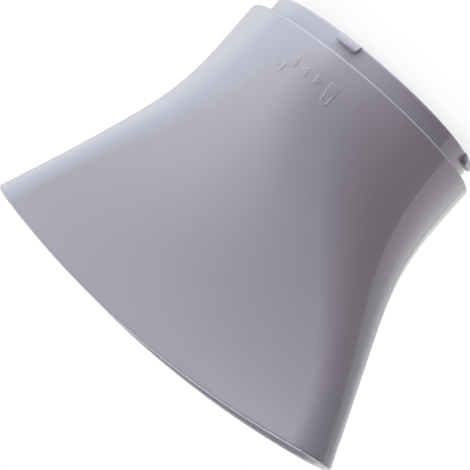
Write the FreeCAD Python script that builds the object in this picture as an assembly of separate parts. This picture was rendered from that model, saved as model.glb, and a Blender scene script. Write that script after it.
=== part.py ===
import FreeCAD, Part
import math
import os

# Air nozzle for a hair dryer: a round inlet that flattens into a wide slot.
# Millimetres. Z runs from the inlet rim (z = 0) up to the slot mouth, X is the slot's width,
# Y its thickness, and the marked front faces -Y.

# Inlet collar and the ring that locks into the dryer
collar_d = 61.0
collar_straight = 2.7
collar_round = 0.6
shoulder_w = 3.3
ring_h = 4.7
ring_wall = 2.0
rim_round = 0.6

# Locking lugs round the ring's rim
lug_count = 4
lug_w = 5.6
lug_h = 2.2
lug_proud = 1.25
lug_round = 0.5
lug_bulge = 0.34
lug_corner = 1.1

# Duct: length from the shoulder to the ends of the slot, and how its sides flare
body_l = 64.7
side_straight = 3.2
flare_bend_l = 32.0
wall = 1.8

# Slot mouth
mouth_w = 98.2
mouth_t = 17.4
mouth_bow = 5.6
lip_break = 0.55

# Thickness curve: how far the collar end and the mouth end hold their direction
hold_collar = 0.28
hold_mouth = 0.39
# Where a section's end arcs meet its crowns, in degrees from the X axis
split_collar = 68.0
split_mouth = 89.0
section_count = 16

# Sizes that follow from the ones above
collar_r = collar_d / 2.0
ring_r = collar_r - shoulder_w
bore_r = ring_r - ring_wall
shoulder_z = ring_h
duct_z = shoulder_z + collar_straight
mouth_end_z = shoulder_z + body_l
mouth_top_z = mouth_end_z + mouth_bow
duct_l = mouth_end_z - duct_z
bend_z = duct_z + side_straight
bend_mid_z = bend_z + flare_bend_l / 2.0
flare_slope = (mouth_w / 2.0 - collar_r) / (mouth_end_z - bend_mid_z)
bow_r = (mouth_bow ** 2 + (mouth_w / 2.0) ** 2) / (2.0 * mouth_bow)
bow_z = mouth_top_z - bow_r

# Working limits: how far a cutter reaches past its work, how close counts as touching,
# how many spots are looked at along an edge, and the highest degree of a lofted face
over = 2.0
near = 0.01
edge_spots = 5
loft_degree = 5


def bezier(p0, p1, p2, p3, t):
    """One coordinate of a cubic curve."""
    s = 1.0 - t
    return p0 * s ** 3 + 3.0 * p1 * t * s ** 2 + 3.0 * p2 * t ** 2 * s + p3 * t ** 3


def half_width(z):
    """Side profile: straight from the collar, a bend that eases in and out, then a straight flare."""
    t = (z - bend_z) / flare_bend_l
    if t <= 0.0:
        return collar_r
    if t < 1.0:
        return collar_r + flare_slope * flare_bend_l * (t ** 3 - t ** 4 / 2.0)
    return collar_r + flare_slope * (z - bend_mid_z)


def stations():
    """Height, half width, half thickness and split angle of every section of the duct."""
    rows = []
    last = section_count - 1
    for i in range(section_count):
        t = i / float(last)
        z = duct_z + duct_l * bezier(0.0, hold_collar, 1.0 - hold_mouth, 1.0, t)
        thick = bezier(collar_r, collar_r, mouth_t / 2.0, mouth_t / 2.0, t)
        share = (z - duct_z) / duct_l
        split = split_collar + (split_mouth - split_collar) * share
        rows.append((z, half_width(z), thick, split))
    top = mouth_top_z + over
    rows.append((top, half_width(top), mouth_t / 2.0, split_mouth))
    return rows


def section(z, a, c, split, inset):
    """Four-arc oval: two end arcs and two flatter crowns that meet them in tangent."""
    al = math.radians(split)
    q = math.tan(math.pi / 4.0 - al / 2.0)
    end_r = (c - a * q) / (1.0 - q)
    crown_r = (a - end_r) / math.cos(al) + end_r
    end_x = a - end_r
    crown_y = -(crown_r - end_r) * math.sin(al)
    re = end_r - inset
    rc = crown_r - inset
    jx = end_x + re * math.cos(al)
    jy = re * math.sin(al)
    right_a = FreeCAD.Vector(jx, -jy, z)
    right_m = FreeCAD.Vector(end_x + re, 0, z)
    right_b = FreeCAD.Vector(jx, jy, z)
    back_m = FreeCAD.Vector(0, crown_y + rc, z)
    left_b = FreeCAD.Vector(-jx, jy, z)
    left_m = FreeCAD.Vector(-end_x - re, 0, z)
    left_a = FreeCAD.Vector(-jx, -jy, z)
    front_m = FreeCAD.Vector(0, -crown_y - rc, z)
    arcs = [
        Part.Arc(right_a, right_m, right_b).toShape(),
        Part.Arc(right_b, back_m, left_b).toShape(),
        Part.Arc(left_b, left_m, left_a).toShape(),
        Part.Arc(left_a, front_m, right_a).toShape(),
    ]
    return Part.Wire(arcs)


def duct(inset):
    """Solid that fills the duct's outline, drawn in by the given wall."""
    wires = [section(z, a, c, split, inset) for z, a, c, split in stations()]
    return Part.makeLoft(wires, True, False, False, loft_degree)


def turned(points):
    """Turn a closed outline of (radius, height) corners round the Z axis."""
    loop = [FreeCAD.Vector(r, 0, z) for r, z in points]
    loop.append(loop[0])
    face = Part.Face(Part.makePolygon(loop))
    return face.revolve(FreeCAD.Vector(0, 0, 0), FreeCAD.Vector(0, 0, 1), 360)


def ring_edges(shape, radius, z):
    """Full circles of the given radius at the given height."""
    found = []
    for edge in shape.Edges:
        if not isinstance(edge.Curve, Part.Circle):
            continue
        if abs(edge.Curve.Radius - radius) > near:
            continue
        if abs(edge.Curve.Center.z - z) < near:
            found.append(edge)
    return found


def collar():
    """Collar with its rounded shoulder, and the locking ring below it."""
    block = turned([
        (0, 0),
        (ring_r, 0),
        (ring_r, shoulder_z),
        (collar_r, shoulder_z),
        (collar_r, duct_z),
        (0, duct_z),
    ])
    block = block.makeFillet(collar_round, ring_edges(block, collar_r, shoulder_z))
    return block.makeFillet(rim_round, ring_edges(block, ring_r, 0.0))


def inlet_hollow():
    """Space inside the ring and the collar."""
    floor_z = shoulder_z + wall
    hollow = turned([
        (0, -over),
        (bore_r, -over),
        (bore_r, floor_z),
        (collar_r - wall, floor_z),
        (collar_r - wall, duct_z),
        (0, duct_z),
    ])
    return hollow


def lug_front():
    """Outline of a lug as seen from the front, with rounded corners, pushed through in Y."""
    side = lug_w / 2.0
    turn = lug_corner * (1.0 - math.sqrt(0.5))
    a = FreeCAD.Vector(-side, 0, -over)
    b = FreeCAD.Vector(-side, 0, lug_h - lug_corner)
    bc = FreeCAD.Vector(-side + turn, 0, lug_h - turn)
    c = FreeCAD.Vector(-side + lug_corner, 0, lug_h)
    d = FreeCAD.Vector(side - lug_corner, 0, lug_h)
    de = FreeCAD.Vector(side - turn, 0, lug_h - turn)
    e = FreeCAD.Vector(side, 0, lug_h - lug_corner)
    f = FreeCAD.Vector(side, 0, -over)
    edges = [
        Part.makeLine(a, b),
        Part.Arc(b, bc, c).toShape(),
        Part.makeLine(c, d),
        Part.Arc(d, de, e).toShape(),
        Part.makeLine(e, f),
        Part.makeLine(f, a),
    ]
    return Part.Face(Part.Wire(edges)).extrude(FreeCAD.Vector(0, -collar_d, 0))


def lug():
    """One locking lug at the front: leans outward from the rim to a rounded catch."""
    root = ring_r - ring_wall / 2.0
    tip = ring_r + lug_proud
    rise = lug_h - lug_round
    lean = math.hypot(lug_proud, rise)
    mid_out = lug_proud / 2.0 + lug_bulge * rise / lean
    mid_up = rise / 2.0 - lug_bulge * lug_proud / lean
    turn = lug_round * (1.0 - math.sqrt(0.5))
    a = FreeCAD.Vector(0, -root, 0)
    b = FreeCAD.Vector(0, -ring_r, 0)
    bc = FreeCAD.Vector(0, -ring_r - mid_out, mid_up)
    c = FreeCAD.Vector(0, -tip, rise)
    cd = FreeCAD.Vector(0, -tip + turn, lug_h - turn)
    d = FreeCAD.Vector(0, -tip + lug_round, lug_h)
    e = FreeCAD.Vector(0, -root, lug_h)
    edges = [
        Part.makeLine(a, b),
        Part.Arc(b, bc, c).toShape(),
        Part.Arc(c, cd, d).toShape(),
        Part.makeLine(d, e),
        Part.makeLine(e, a),
    ]
    face = Part.Face(Part.Wire(edges))
    span = 4.0 * math.degrees(math.asin(lug_w / 2.0 / tip))
    up = FreeCAD.Vector(0, 0, 1)
    face.rotate(FreeCAD.Vector(0, 0, 0), up, -span / 2.0)
    block = face.revolve(FreeCAD.Vector(0, 0, 0), up, span)
    return block.common(lug_front()).Solids[0]


def beyond_mouth():
    """Everything past the bowed edge of the slot."""
    wide = mouth_w
    low = bow_z + math.sqrt(bow_r ** 2 - wide ** 2)
    high = mouth_top_z + 2.0 * over
    a = FreeCAD.Vector(-wide, -mouth_w, low)
    m = FreeCAD.Vector(0, -mouth_w, mouth_top_z)
    b = FreeCAD.Vector(wide, -mouth_w, low)
    c = FreeCAD.Vector(wide, -mouth_w, high)
    d = FreeCAD.Vector(-wide, -mouth_w, high)
    edges = [
        Part.Arc(a, m, b).toShape(),
        Part.makeLine(b, c),
        Part.makeLine(c, d),
        Part.makeLine(d, a),
    ]
    return Part.Face(Part.Wire(edges)).extrude(FreeCAD.Vector(0, 2.0 * mouth_w, 0))


def lip_edges(shape):
    """Edges where the walls, inside and outside, meet the bowed end of the slot."""
    found = []
    for edge in shape.Edges:
        spots = edge.discretize(edge_spots)
        off = [abs(math.hypot(p.x, p.z - bow_z) - bow_r) for p in spots]
        if max(off) < near:
            found.append(edge)
    return found


def nozzle():
    """The whole moulding."""
    outside = collar().fuse(duct(0.0))
    for i in range(lug_count):
        one = lug()
        one.rotate(FreeCAD.Vector(0, 0, 0), FreeCAD.Vector(0, 0, 1), 360.0 * i / lug_count)
        outside = outside.fuse(one)
    inside = inlet_hollow().fuse(duct(wall))
    shell = outside.cut(inside)
    shell = shell.cut(beyond_mouth()).Solids[0]
    return shell.makeChamfer(lip_break, lip_edges(shell)).Solids[0]


os.makedirs("parts", exist_ok=True)
body = nozzle()
body.exportStep("parts/nozzle_body.step")
print("solids", len(body.Solids), "valid", body.isValid(), "volume", round(body.Volume, 1))
print("box", body.BoundBox)
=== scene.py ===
import math

import bpy
from mathutils import Matrix, Vector
from mathutils.bvhtree import BVHTree


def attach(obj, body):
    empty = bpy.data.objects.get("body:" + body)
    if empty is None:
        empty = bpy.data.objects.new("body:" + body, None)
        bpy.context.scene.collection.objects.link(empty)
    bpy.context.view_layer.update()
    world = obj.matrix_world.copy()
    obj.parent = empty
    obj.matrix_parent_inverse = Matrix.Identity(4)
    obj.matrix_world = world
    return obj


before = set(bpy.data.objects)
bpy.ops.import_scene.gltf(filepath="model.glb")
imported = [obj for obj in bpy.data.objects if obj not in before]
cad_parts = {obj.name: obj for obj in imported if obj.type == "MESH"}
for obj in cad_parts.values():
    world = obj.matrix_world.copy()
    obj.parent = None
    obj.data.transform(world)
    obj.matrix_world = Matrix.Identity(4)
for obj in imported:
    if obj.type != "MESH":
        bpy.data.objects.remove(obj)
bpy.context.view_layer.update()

# Air nozzle for a hair dryer, dressed for the photograph's view.
# Metres, in the CAD frame: Z from the inlet rim to the slot mouth, X the slot's width, front -Y.
# Sizes with names in capitals are in millimetres unless their name or comment says otherwise.

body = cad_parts["nozzle_body"]
scene = bpy.context.scene
MM = 0.001

# Photograph's camera, fitted to the outline: turn and rise of the view and roll of the picture in
# radians, distance, focal length and picture in pixels, height of the point that the view turns
# about, and the aim's place from it in pixels
VIEW_TURN = math.radians(20.093)
VIEW_RISE = math.radians(4.975)
VIEW_ROLL = math.radians(221.402)
VIEW_DIST = 599.07
FOCAL_PX = 2797.7
FRAME_PX = 470.0
SENSOR = 36.0
MIDDLE_Z = 38.0
AIM_RIGHT_PX = -22.815
AIM_DOWN_PX = 19.746
CLIP_NEAR = 10.0
CLIP_FAR = 20000.0

# Plastic: the two greys that the pigment drifts between and where in the noise they lie, the
# roughness of the polish, and the fine skin. Scales of the noise are per metre.
GREY_DARK = (0.410, 0.410, 0.463, 1)
GREY_PALE = (0.430, 0.430, 0.485, 1)
DRIFT_DARK_AT = 0.3
DRIFT_PALE_AT = 0.7
DRIFT_SCALE = 55.0
DRIFT_DETAIL = 4.0
ROUGH_LEAST = 0.03
ROUGH_MOST = 0.08
ROUGH_SCALE = 140.0
ROUGH_DETAIL = 5.0
SKIN_SCALE = 420.0
SKIN_DETAIL = 2.0
SKIN_STRENGTH = 0.04
SKIN_DEPTH = 0.2
PLASTIC_IOR = 1.5

# Slot mouth: width, bow and top, how deep the shaded lip reaches, the power of a face's area in
# the lip's normals, and how close points lie that count as one
MOUTH_W = 98.2
MOUTH_BOW = 5.6
MOUTH_TOP = 75.0
LIP_ZONE = 0.8
LIP_PULL = 3.0
SAME_POINT = 0.001

# Rays that find the wall start this far from the axis
RAY_FROM = 200.0

# Relief signs on the front: height of the shoulder they are measured from, how a flat sign's edge
# rolls over (inset from the outline, height above the wall), half of a raised line's section (steps
# across it as shares of its half width, heights), how far corners round, and how finely curves
# and long sides are divided
SHOULDER_Z = 4.7
ROLL_OVER = [(-0.08, -0.08), (0.0, 0.0), (0.09, 0.032), (0.19, 0.053), (0.32, 0.062)]
WIRE_SIDE = [(-1.2, -0.08), (-1.0, 0.0), (-0.75, 0.034), (-0.4, 0.058), (0.0, 0.066)]
LOCK_CORNER = 0.35
ARROW_CORNER = 0.33
CORNER_STEPS = 5
BOW_STEPS = 16
SIGN_STEP = 0.5

# Locks: the block's width, height and foot, where each stands along X, and the shackle's radius,
# half width and top, how far its legs reach into the block and above it, and the free leg's length
LOCK_W = 2.65
LOCK_H = 2.75
LOCK_FOOT = 5.32
CLOSED_X = -5.15
OPEN_X = 5.83
SHACKLE_R = 0.77
SHACKLE_W = 0.31
SHACKLE_TOP = 10.32
LEG_INSIDE = 0.25
LEG_ABOVE = 0.4
FREE_LEG = 0.4

# Arrows: width of the foot, length, height of the tips, and where the feet stand from their middle
ARROW_BASE = 2.85
ARROW_L = 2.1
ARROW_Z = 6.9
ARROW_GAP = 0.9
ARROW_MID = 0.33

# Mould line along both sides, a little behind the middle: a low, rounded ridge, given as steps
# across it and heights above the wall, that dies out before the mouth
LINE_Y = 1.4
LINE_PROFILE = [
    (-1.5, -0.06),
    (-1.0, 0.0),
    (-0.5, 0.06),
    (0.0, 0.08),
    (0.5, 0.06),
    (1.0, 0.0),
    (1.5, -0.06),
]
LINE_FROM = 5.5
LINE_TO = 66.5
LINE_STEPS = 90
LINE_FADE = 4.0

# Surroundings. An edge has a turn in degrees from the view, counted to the picture's left, a
# softness and, where it isn't upright, a lean. A wedge has two turns and a softness. A zone has
# the share of the look direction along a way where it starts, and a softness. Colours are levels of
# light in red, green and blue.
STEEP_ZONE = (0.3, 0.25)
PANEL_START = (42.4, 0.25, -0.14)
PANEL_END = (103.5, 1.2)
PANEL_COLOUR = (0.93, 0.97, 1.02)
PANEL_LEVEL = 2.62
PANEL_LOW_LOSS = 1.0
SPILL_START = (30.0, 0.5)
SPILL_END = (110.0, 0.8)
SPILL_COLOUR = (1.02, 1.12, 1.22)
TABLE_ZONE = (0.75, 0.25)
TABLE_COLOUR = (0.30, 0.28, 0.31)
FRONT_WEDGE = (-35.0, 25.0, 0.35)
FRONT_COLOUR = (0.41, 0.25, 0.28)
WARM_WEDGE = (5.0, 45.0, 0.25)
WARM_COLOUR = (0.25, 0.15, 0.11)
RIGHT_WEDGE = (-95.0, -30.0, 0.3)
RIGHT_COLOUR = (0.41, 0.40, 0.42)
CEILING_COLOUR = (0.06, 0.05, 0.05)
HALF_ZONE = (0.0, 0.3)
BACK_EDGE = (-91.2, 0.012, -0.06)
BACK_COLOUR = (1.12, 1.08, 1.07)
BACK_LEVEL = 1.0
BACK_LOW_LOSS = 0.4
DEEP_BACK_WEDGE = (-145.0, -108.0, 0.25)
DEEP_BACK_COLOUR = (0.32, 0.32, 0.32)
LEFT_BACK_EDGE = (111.9, 0.183, -0.1)
LEFT_BACK_COLOUR = (0.57, 0.54, 0.49)
HIGH_BACK_RISE = 2.0
HIGH_BACK_ZONE = (0.85, 0.12)
HIGH_BACK_COLOUR = (1.04, 0.98, 1.02)
BACKDROP = (1, 1, 1, 1)

# Card light: radius of the ring it faces, turn from the view in radians, place out from the axis
# and below the rim, size, power in watts
RING_R = 27.2
CARD_TURN = math.radians(12.0)
CARD_OUT = 42.0
CARD_DOWN = 22.0
CARD_SIZE = 24.0
CARD_POWER = 0.0034
CARD_COLOUR = (0.95, 0.96, 1.0)

# Floor: half its side, how far it lies below the rim, what it scatters and what it glows
FLOOR_HALF = 3000.0
FLOOR_DROP = 0.2
FLOOR_MATT = (0.20, 0.20, 0.20, 1)
FLOOR_GLOW = (0.80, 0.80, 0.80, 1)


def view_axes():
    """Direction from the object to the camera, and the picture's right and up."""
    toward = Vector((
        -math.sin(VIEW_TURN) * math.cos(VIEW_RISE),
        -math.cos(VIEW_TURN) * math.cos(VIEW_RISE),
        math.sin(VIEW_RISE),
    ))
    level = Vector((0, 0, 1)).cross(toward).normalized()
    upright = toward.cross(level)
    right = math.cos(VIEW_ROLL) * level + math.sin(VIEW_ROLL) * upright
    up = -math.sin(VIEW_ROLL) * level + math.cos(VIEW_ROLL) * upright
    return toward, right, up


def level_view():
    """Direction from the object to the camera, brought level."""
    toward = view_axes()[0]
    return Vector((toward.x, toward.y, 0)).normalized()


def make_camera():
    """Camera with the photograph's view."""
    toward, right, up = view_axes()
    per_px = VIEW_DIST * MM / FOCAL_PX
    middle = Vector((0.0, 0.0, MIDDLE_Z * MM))
    aim = middle + right * (AIM_RIGHT_PX * per_px) - up * (AIM_DOWN_PX * per_px)
    place = middle + toward * (VIEW_DIST * MM)
    z = (place - aim).normalized()
    x = up.cross(z).normalized()
    y = z.cross(x)
    data = bpy.data.cameras.new("camera")
    data.sensor_width = SENSOR
    data.lens = SENSOR * FOCAL_PX / FRAME_PX
    data.clip_start = CLIP_NEAR * MM
    data.clip_end = CLIP_FAR * MM
    cam = bpy.data.objects.new("camera", data)
    scene.collection.objects.link(cam)
    turn = Matrix((x, y, z)).transposed().to_4x4()
    cam.matrix_world = Matrix.Translation(place) @ turn
    scene.camera = cam


def node(tree, kind, **values):
    """New node of a kind, with its settings."""
    made = tree.nodes.new(kind)
    for key, value in values.items():
        setattr(made, key, value)
    return made


def link(tree, a, out, b, into):
    """Join an output of one node to an input of another."""
    tree.links.new(a.outputs[out], b.inputs[into])


def put(tree, value, socket):
    """Set a socket from a number or from another socket."""
    if isinstance(value, (int, float)):
        socket.default_value = value
    else:
        tree.links.new(value, socket)


def sums(tree, how, *values):
    """Maths node on numbers or sockets; gives the result's socket."""
    made = node(tree, "ShaderNodeMath", operation=how)
    for value, socket in zip(values, made.inputs):
        put(tree, value, socket)
    return made.outputs[0]


def noise(tree, where, scale, detail):
    """Noise that stays with the object."""
    made = node(tree, "ShaderNodeTexNoise")
    made.inputs["Scale"].default_value = scale
    made.inputs["Detail"].default_value = detail
    link(tree, where, "Object", made, "Vector")
    return made


def plastic():
    """Polished grey plastic with a faint lilac cast, slow drift of pigment and a moulded skin."""
    mat = bpy.data.materials.new("gloss_plastic_shell")
    mat.use_nodes = True
    tree = mat.node_tree
    bsdf = tree.nodes["Principled BSDF"]
    where = node(tree, "ShaderNodeTexCoord")
    drift = noise(tree, where, DRIFT_SCALE, DRIFT_DETAIL)
    ramp = node(tree, "ShaderNodeValToRGB")
    dark, pale = ramp.color_ramp.elements
    dark.position = DRIFT_DARK_AT
    dark.color = GREY_DARK
    pale.position = DRIFT_PALE_AT
    pale.color = GREY_PALE
    link(tree, drift, "Fac", ramp, "Fac")
    link(tree, ramp, "Color", bsdf, "Base Color")
    wipe = noise(tree, where, ROUGH_SCALE, ROUGH_DETAIL)
    rough = node(tree, "ShaderNodeMapRange")
    rough.inputs["To Min"].default_value = ROUGH_LEAST
    rough.inputs["To Max"].default_value = ROUGH_MOST
    link(tree, wipe, "Fac", rough, "Value")
    link(tree, rough, "Result", bsdf, "Roughness")
    skin = noise(tree, where, SKIN_SCALE, SKIN_DETAIL)
    bump = node(tree, "ShaderNodeBump")
    bump.inputs["Strength"].default_value = SKIN_STRENGTH
    bump.inputs["Distance"].default_value = SKIN_DEPTH * MM
    link(tree, skin, "Fac", bump, "Height")
    link(tree, bump, "Normal", bsdf, "Normal")
    bsdf.inputs["IOR"].default_value = PLASTIC_IOR
    return mat


def at_lip(tree):
    """True for what lies close to the arc that cuts the mouth, whose middle is on the axis."""
    bow_r = (MOUTH_BOW ** 2 + (MOUTH_W / 2.0) ** 2) / (2.0 * MOUTH_BOW)
    where = node(tree, "GeometryNodeInputPosition")
    from_middle = node(tree, "ShaderNodeVectorMath", operation="MULTIPLY_ADD")
    link(tree, where, "Position", from_middle, 0)
    from_middle.inputs[1].default_value = (1, 0, 1)
    from_middle.inputs[2].default_value = (0, 0, (bow_r - MOUTH_TOP) * MM)
    reach = node(tree, "ShaderNodeVectorMath", operation="LENGTH")
    link(tree, from_middle, 0, reach, 0)
    close = node(tree, "FunctionNodeCompare", data_type="FLOAT", operation="GREATER_THAN")
    link(tree, reach, "Value", close, "A")
    close.inputs["B"].default_value = (bow_r - LIP_ZONE) * MM
    return close.outputs["Result"]


def smooth_lip():
    """Shade the broken edges of the lip as one round; every other place keeps its packed normals."""
    tree = bpy.data.node_groups.new("round_lip", "GeometryNodeTree")
    tree.interface.new_socket("Geometry", in_out="INPUT", socket_type="NodeSocketGeometry")
    tree.interface.new_socket("Geometry", in_out="OUTPUT", socket_type="NodeSocketGeometry")
    start = node(tree, "NodeGroupInput")
    end = node(tree, "NodeGroupOutput")
    # each face pulls the normal of its corners its own way, large faces far more than small ones
    packed = node(tree, "GeometryNodeInputNormal")
    area = node(tree, "GeometryNodeInputMeshFaceArea")
    in_mm2 = sums(tree, "DIVIDE", area.outputs["Area"], MM * MM)
    pull = node(tree, "ShaderNodeVectorMath", operation="SCALE")
    link(tree, packed, "Normal", pull, 0)
    put(tree, sums(tree, "POWER", in_mm2, LIP_PULL), pull.inputs["Scale"])
    keep = node(tree, "GeometryNodeCaptureAttribute", domain="CORNER")
    keep.capture_items.new("VECTOR", "packed")
    keep.capture_items.new("VECTOR", "pull")
    link(tree, start, 0, keep, "Geometry")
    link(tree, packed, "Normal", keep, "packed")
    link(tree, pull, 0, keep, "pull")
    # a welded copy of the mesh gives the mean of the pulls at each point
    weld = node(tree, "GeometryNodeMergeByDistance")
    weld.inputs["Distance"].default_value = SAME_POINT * MM
    link(tree, keep, "Geometry", weld, "Geometry")
    nearest = node(tree, "GeometryNodeSampleNearest", domain="POINT")
    link(tree, weld, "Geometry", nearest, "Geometry")
    mean = node(tree, "GeometryNodeSampleIndex", data_type="FLOAT_VECTOR", domain="POINT")
    link(tree, weld, "Geometry", mean, "Geometry")
    link(tree, keep, "pull", mean, "Value")
    link(tree, nearest, "Index", mean, "Index")
    round_way = node(tree, "ShaderNodeVectorMath", operation="NORMALIZE")
    link(tree, mean, 0, round_way, 0)
    # the mesh itself stays as packed and takes the round normals at the lip alone
    pick = node(tree, "GeometryNodeSwitch", input_type="VECTOR")
    put(tree, at_lip(tree), pick.inputs["Switch"])
    link(tree, keep, "packed", pick, "False")
    link(tree, round_way, 0, pick, "True")
    shade = node(tree, "GeometryNodeSetMeshNormal", mode="FREE", domain="CORNER")
    link(tree, keep, "Geometry", shade, "Mesh")
    link(tree, pick, "Output", shade, "Custom Normal")
    link(tree, shade, "Mesh", end, 0)
    body.modifiers.new("round_lip", "NODES").node_group = tree


def cad_surface():
    """The CAD node's own surface, to lay pieces on."""
    bpy.context.view_layer.update()
    mesh = body.data
    spots = [body.matrix_world @ v.co for v in mesh.vertices]
    faces = [list(p.vertices) for p in mesh.polygons]
    return BVHTree.FromPolygons(spots, faces)


surface = cad_surface()


def on_front(x, z):
    """Place on the front wall and the level way out from the axis; millimetres in, metres out."""
    spot = surface.ray_cast(Vector((x * MM, -RAY_FROM * MM, z * MM)), Vector((0, 1, 0)))[0]
    out = Vector((spot.x, spot.y, 0)).normalized()
    return spot, out


def on_side(side, y, z):
    """Place on a side wall and the way out of it there; millimetres in, metres out."""
    start = Vector((side * RAY_FROM * MM, y * MM, z * MM))
    spot, out, _, _ = surface.ray_cast(start, Vector((-side, 0, 0)))
    return spot, out


class Relief:
    """Points and faces of raised work on the front wall, in x and height above the shoulder."""

    def __init__(self):
        self.points = []
        self.faces = []

    def add(self, x, h, lift):
        """New point, lifted off the wall; gives its number."""
        spot, out = on_front(x, SHOULDER_Z + h)
        self.points.append(spot + out * (lift * MM))
        return len(self.points) - 1

    def join(self, rings):
        """Faces between rings of equal length."""
        count = len(rings[0])
        for low, high in zip(rings, rings[1:]):
            for i in range(count):
                j = (i + 1) % count
                self.faces.append((low[i], low[j], high[j], high[i]))

    def fan(self, ring, hub, flip):
        """Faces from a ring to a point in its middle; flip turns them over."""
        for i in range(len(ring)):
            j = (i + 1) % len(ring)
            self.faces.append((ring[j], ring[i], hub) if flip else (ring[i], ring[j], hub))

    def plateau(self, corners, radius):
        """Raised flat figure with rounded corners, which run anticlockwise seen from the front."""
        outline = rounded(corners, radius)
        rings = []
        for inset, lift in ROLL_OVER:
            rings.append([self.add(p.x - n.x * inset, p.y - n.y * inset, lift) for p, n in outline])
        self.join(rings)
        mid = sum((p for p, n in outline), Vector((0, 0))) / len(outline)
        self.fan(rings[0], self.add(mid.x, mid.y, ROLL_OVER[0][1]), True)
        self.fan(rings[-1], self.add(mid.x, mid.y, ROLL_OVER[-1][1]), False)

    def wire(self, path, half):
        """Raised line of rounded section along a path."""
        sides = WIRE_SIDE + [(-step, lift) for step, lift in reversed(WIRE_SIDE[:-1])]
        rows = []
        for i, p in enumerate(path):
            along = (path[min(i + 1, len(path) - 1)] - path[max(i - 1, 0)]).normalized()
            across = Vector((along.y, -along.x))
            row = []
            for step, lift in sides:
                off = step * half
                row.append(self.add(p.x + across.x * off, p.y + across.y * off, lift))
            rows.append(row)
        self.join(rows)
        self.faces.append(tuple(reversed(rows[0])))
        self.faces.append(tuple(rows[-1]))


def rounded(corners, radius):
    """Outline with rounded corners as (point, outward normal), long sides divided."""
    count = len(corners)
    ways = []
    for i in range(count):
        side = (corners[(i + 1) % count] - corners[i]).normalized()
        ways.append(Vector((side.y, -side.x)))
    line = []
    for i in range(count):
        n0, n1 = ways[i - 1], ways[i]
        hub = corners[i] - (n0 + n1) * (radius / (1.0 + n0.dot(n1)))
        sweep = n0.angle_signed(n1)
        for k in range(CORNER_STEPS + 1):
            turn = -sweep * k / CORNER_STEPS
            cos, sin = math.cos(turn), math.sin(turn)
            n = Vector((n0.x * cos - n0.y * sin, n0.x * sin + n0.y * cos))
            line.append((hub + n * radius, n))
    full = []
    for i, (p, n) in enumerate(line):
        q, m = line[(i + 1) % len(line)]
        parts = max(1, int((q - p).length / SIGN_STEP))
        for k in range(parts):
            share = k / parts
            full.append((p.lerp(q, share), n.lerp(m, share).normalized()))
    return full


def block_corners(x):
    """Corners of a lock's block that stands at x."""
    half = LOCK_W / 2.0
    head = LOCK_FOOT + LOCK_H
    return [
        Vector((x - half, LOCK_FOOT)),
        Vector((x + half, LOCK_FOOT)),
        Vector((x + half, head)),
        Vector((x - half, head)),
    ]


def bow(x, h, start, stop):
    """Arc of the shackle about (x, h), angles in degrees."""
    points = []
    for k in range(BOW_STEPS + 1):
        a = math.radians(start + (stop - start) * k / BOW_STEPS)
        points.append(Vector((x + SHACKLE_R * math.cos(a), h + SHACKLE_R * math.sin(a))))
    return points


def leg(x):
    """Straight end of the shackle, from inside the block to above it."""
    head = LOCK_FOOT + LOCK_H
    return [Vector((x, head - LEG_INSIDE)), Vector((x, head + LEG_ABOVE))]


def finish_piece(name, points, faces, material):
    """Piece of the shell's material, fixed to the part's one body."""
    mesh = bpy.data.meshes.new(name)
    mesh.from_pydata(points, [], faces)
    mesh.validate()
    mesh.shade_smooth()
    piece = bpy.data.objects.new(name, mesh)
    scene.collection.objects.link(piece)
    mesh.materials.append(material)
    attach(piece, "root")


def signs(material):
    """A closed and an open lock with two arrows between them, raised on the front wall."""
    work = Relief()
    hub_h = SHACKLE_TOP - SHACKLE_W - SHACKLE_R
    # closed lock, its shackle down
    work.plateau(block_corners(CLOSED_X), LOCK_CORNER)
    up = leg(CLOSED_X + SHACKLE_R)
    down = leg(CLOSED_X - SHACKLE_R)[::-1]
    work.wire(up + bow(CLOSED_X, hub_h, 0, 180) + down, SHACKLE_W)
    # open lock, its shackle swung out to the side
    work.plateau(block_corners(OPEN_X), LOCK_CORNER)
    leg_x = OPEN_X + LOCK_W / 2.0 - SHACKLE_W
    free = [Vector((leg_x + 2.0 * SHACKLE_R, hub_h - FREE_LEG))]
    work.wire(leg(leg_x) + bow(leg_x + SHACKLE_R, hub_h, 180, 0) + free, SHACKLE_W)
    # arrows that point away from each other
    for way in (1.0, -1.0):
        foot = ARROW_MID + way * ARROW_GAP
        tip = Vector((foot + way * ARROW_L, ARROW_Z))
        a = Vector((foot, ARROW_Z - ARROW_BASE / 2.0))
        b = Vector((foot, ARROW_Z + ARROW_BASE / 2.0))
        work.plateau([a, tip, b] if way > 0 else [b, tip, a], ARROW_CORNER)
    finish_piece("relief_signs", work.points, work.faces, material)


def mould_line(name, side, material):
    """Low ridge where the mould's halves met, on the side at +X (1) or -X (-1)."""
    points = []
    faces = []
    wide = len(LINE_PROFILE)
    sunk = LINE_PROFILE[0][1]
    for i in range(LINE_STEPS + 1):
        z = LINE_FROM + (LINE_TO - LINE_FROM) * i / LINE_STEPS
        fade = min(1.0, (LINE_TO - z) / LINE_FADE)
        for step, lift in LINE_PROFILE:
            spot, out = on_side(side, LINE_Y + step, z)
            height = sunk + (lift - sunk) * fade
            points.append(spot + out * (height * MM))
    for i in range(LINE_STEPS):
        low = i * wide
        high = low + wide
        for k in range(wide):
            n = (k + 1) % wide
            faces.append((low + k, low + n, high + n, high + k))
    last = LINE_STEPS * wide
    faces.append(tuple(range(wide - 1, -1, -1)))
    faces.append(tuple(range(last, last + wide)))
    # from outside, the profile runs the other way round at -X
    if side < 0:
        faces = [tuple(reversed(f)) for f in faces]
    finish_piece(name, points, faces, material)


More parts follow.
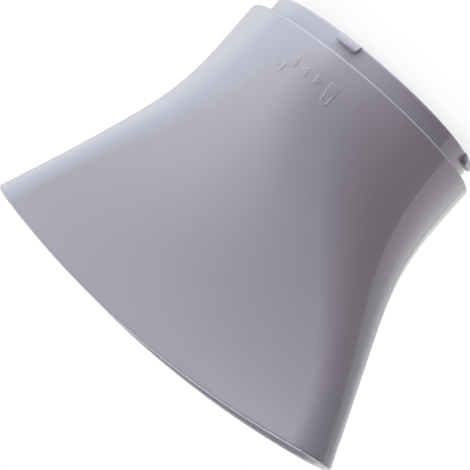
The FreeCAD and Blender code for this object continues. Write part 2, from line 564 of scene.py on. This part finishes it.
def studio():
    """White surroundings: a large bright panel at the picture's left, white behind, dim in front."""
    level = level_view()
    world = bpy.data.worlds.new("studio")
    scene.world = world
    world.use_nodes = True
    tree = world.node_tree
    tree.nodes.clear()
    where = node(tree, "ShaderNodeTexCoord")
    path = node(tree, "ShaderNodeLightPath")

    def share(way, edge, soft):
        """Rises from 0 to 1 where the look direction's share along a way passes the edge."""
        dot = node(tree, "ShaderNodeVectorMath", operation="DOT_PRODUCT")
        link(tree, where, "Generated", dot, 0)
        dot.inputs[1].default_value = way
        ease = node(tree, "ShaderNodeMapRange", interpolation_type="SMOOTHSTEP")
        ease.inputs["From Min"].default_value = edge - soft
        ease.inputs["From Max"].default_value = edge + soft
        link(tree, dot, "Value", ease, "Value")
        return ease.outputs["Result"]

    def past(turn, soft, lean=0.0):
        """1 past a plane at a turn from the view, counted to the picture's left; it may lean."""
        way = Matrix.Rotation(math.radians(turn + 90.0), 3, "Z") @ level
        return share(way + Vector((0, 0, lean)), 0.0, soft)

    def no(part):
        """The rest of a part."""
        return sums(tree, "SUBTRACT", 1.0, part)

    def short_of(turn, soft, lean=0.0):
        """1 up to a plane at a turn from the view."""
        return no(past(turn, soft, lean))

    def times(*parts):
        """Where all the parts are."""
        made = parts[0]
        for part in parts[1:]:
            made = sums(tree, "MULTIPLY", made, part)
        return made

    def wedge(start, stop, soft):
        """1 between two turns."""
        return times(past(start, soft), short_of(stop, soft))

    def tint(colour, part):
        """A part in a colour."""
        made = node(tree, "ShaderNodeMix", data_type="RGBA", blend_type="MULTIPLY")
        made.inputs["Factor"].default_value = 1.0
        made.inputs["A"].default_value = (*colour, 1)
        tree.links.new(part, made.inputs["B"])
        return made.outputs["Result"]

    def add(a, b):
        """Light of both."""
        made = node(tree, "ShaderNodeMix", data_type="RGBA", blend_type="ADD")
        made.inputs["Factor"].default_value = 1.0
        tree.links.new(a, made.inputs["A"])
        tree.links.new(b, made.inputs["B"])
        return made.outputs["Result"]

    down = Vector((0, 0, -1))
    low = share(down, *STEEP_ZONE)
    high = share(-down, *STEEP_ZONE)
    band = times(no(low), no(high))
    # large panel at the left, weaker towards the table
    panel = times(past(*PANEL_START), short_of(*PANEL_END))
    panel_level = sums(tree, "MULTIPLY_ADD", low, -PANEL_LOW_LOSS, PANEL_LEVEL)
    light = tint(PANEL_COLOUR, times(panel, panel_level))
    # its spill on the table, and the pale table under the part
    spill = times(past(*SPILL_START), short_of(*SPILL_END))
    light = add(light, tint(SPILL_COLOUR, times(spill, low)))
    light = add(light, tint(TABLE_COLOUR, share(down, *TABLE_ZONE)))
    # dim, warm room in front, dim at the right and above
    light = add(light, tint(FRONT_COLOUR, times(wedge(*FRONT_WEDGE), band)))
    light = add(light, tint(WARM_COLOUR, times(wedge(*WARM_WEDGE), band)))
    light = add(light, tint(RIGHT_COLOUR, times(wedge(*RIGHT_WEDGE), band)))
    light = add(light, tint(CEILING_COLOUR, high))
    # white behind, at the right, deeper behind and at the left
    right_half = share(Matrix.Rotation(math.radians(-90.0), 3, "Z") @ level, *HALF_ZONE)
    back = times(short_of(*BACK_EDGE), right_half)
    back_level = sums(tree, "MULTIPLY_ADD", low, -BACK_LOW_LOSS, BACK_LEVEL)
    light = add(light, tint(BACK_COLOUR, times(back, back_level)))
    light = add(light, tint(DEEP_BACK_COLOUR, times(wedge(*DEEP_BACK_WEDGE), back, no(low))))
    light = add(light, tint(LEFT_BACK_COLOUR, times(past(*LEFT_BACK_EDGE), no(right_half))))
    # white above behind, which only upturned edges see
    high_back = (Vector((0, 0, HIGH_BACK_RISE)) - level).normalized()
    light = add(light, tint(HIGH_BACK_COLOUR, share(high_back, *HIGH_BACK_ZONE)))
    # the backdrop itself looks plain white
    final = node(tree, "ShaderNodeMix", data_type="RGBA")
    link(tree, path, "Is Camera Ray", final, "Factor")
    tree.links.new(light, final.inputs["A"])
    final.inputs["B"].default_value = BACKDROP
    glow = node(tree, "ShaderNodeBackground")
    link(tree, final, "Result", glow, "Color")
    out = node(tree, "ShaderNodeOutputWorld")
    link(tree, glow, "Background", out, "Surface")


def ring_card():
    """Weak light from a card low in front of the locking ring, which fades up the collar."""
    way = Matrix.Rotation(CARD_TURN, 3, "Z") @ level_view()
    data = bpy.data.lights.new("ring_card", "AREA")
    data.size = CARD_SIZE * MM
    data.energy = CARD_POWER
    data.color = CARD_COLOUR
    card = bpy.data.objects.new("ring_card", data)
    scene.collection.objects.link(card)
    card.visible_camera = False
    card.visible_glossy = False
    place = (way * CARD_OUT + Vector((0, 0, -CARD_DOWN))) * MM
    aim = way * (RING_R * MM) - place
    turn = aim.to_track_quat("-Z", "Y").to_matrix().to_4x4()
    card.matrix_world = Matrix.Translation(place) @ turn


def pale_floor():
    """White floor under the part. It takes the part's shadow and sends nothing back to it."""
    mesh = bpy.data.meshes.new("floor")
    side = FLOOR_HALF * MM
    z = -FLOOR_DROP * MM
    corners = [(-side, -side, z), (side, -side, z), (side, side, z), (-side, side, z)]
    mesh.from_pydata(corners, [], [(0, 1, 2, 3)])
    floor = bpy.data.objects.new("floor", mesh)
    scene.collection.objects.link(floor)
    floor.visible_glossy = False
    floor.visible_diffuse = False
    floor.visible_shadow = False
    mat = bpy.data.materials.new("pale_floor")
    mat.use_nodes = True
    tree = mat.node_tree
    tree.nodes.clear()
    path = node(tree, "ShaderNodeLightPath")
    matt = node(tree, "ShaderNodeBsdfDiffuse")
    matt.inputs["Color"].default_value = FLOOR_MATT
    glow = node(tree, "ShaderNodeEmission")
    glow.inputs["Color"].default_value = FLOOR_GLOW
    link(tree, path, "Is Camera Ray", glow, "Strength")
    both = node(tree, "ShaderNodeAddShader")
    link(tree, matt, "BSDF", both, 0)
    link(tree, glow, "Emission", both, 1)
    out = node(tree, "ShaderNodeOutputMaterial")
    link(tree, both, "Shader", out, "Surface")
    mesh.materials.append(mat)


make_camera()
shell = plastic()
body.data.materials.clear()
body.data.materials.append(shell)
smooth_lip()
signs(shell)
mould_line("mould_line_right", 1.0, shell)
mould_line("mould_line_left", -1.0, shell)
studio()
ring_card()
pale_floor()
scene.view_settings.view_transform = "Standard"
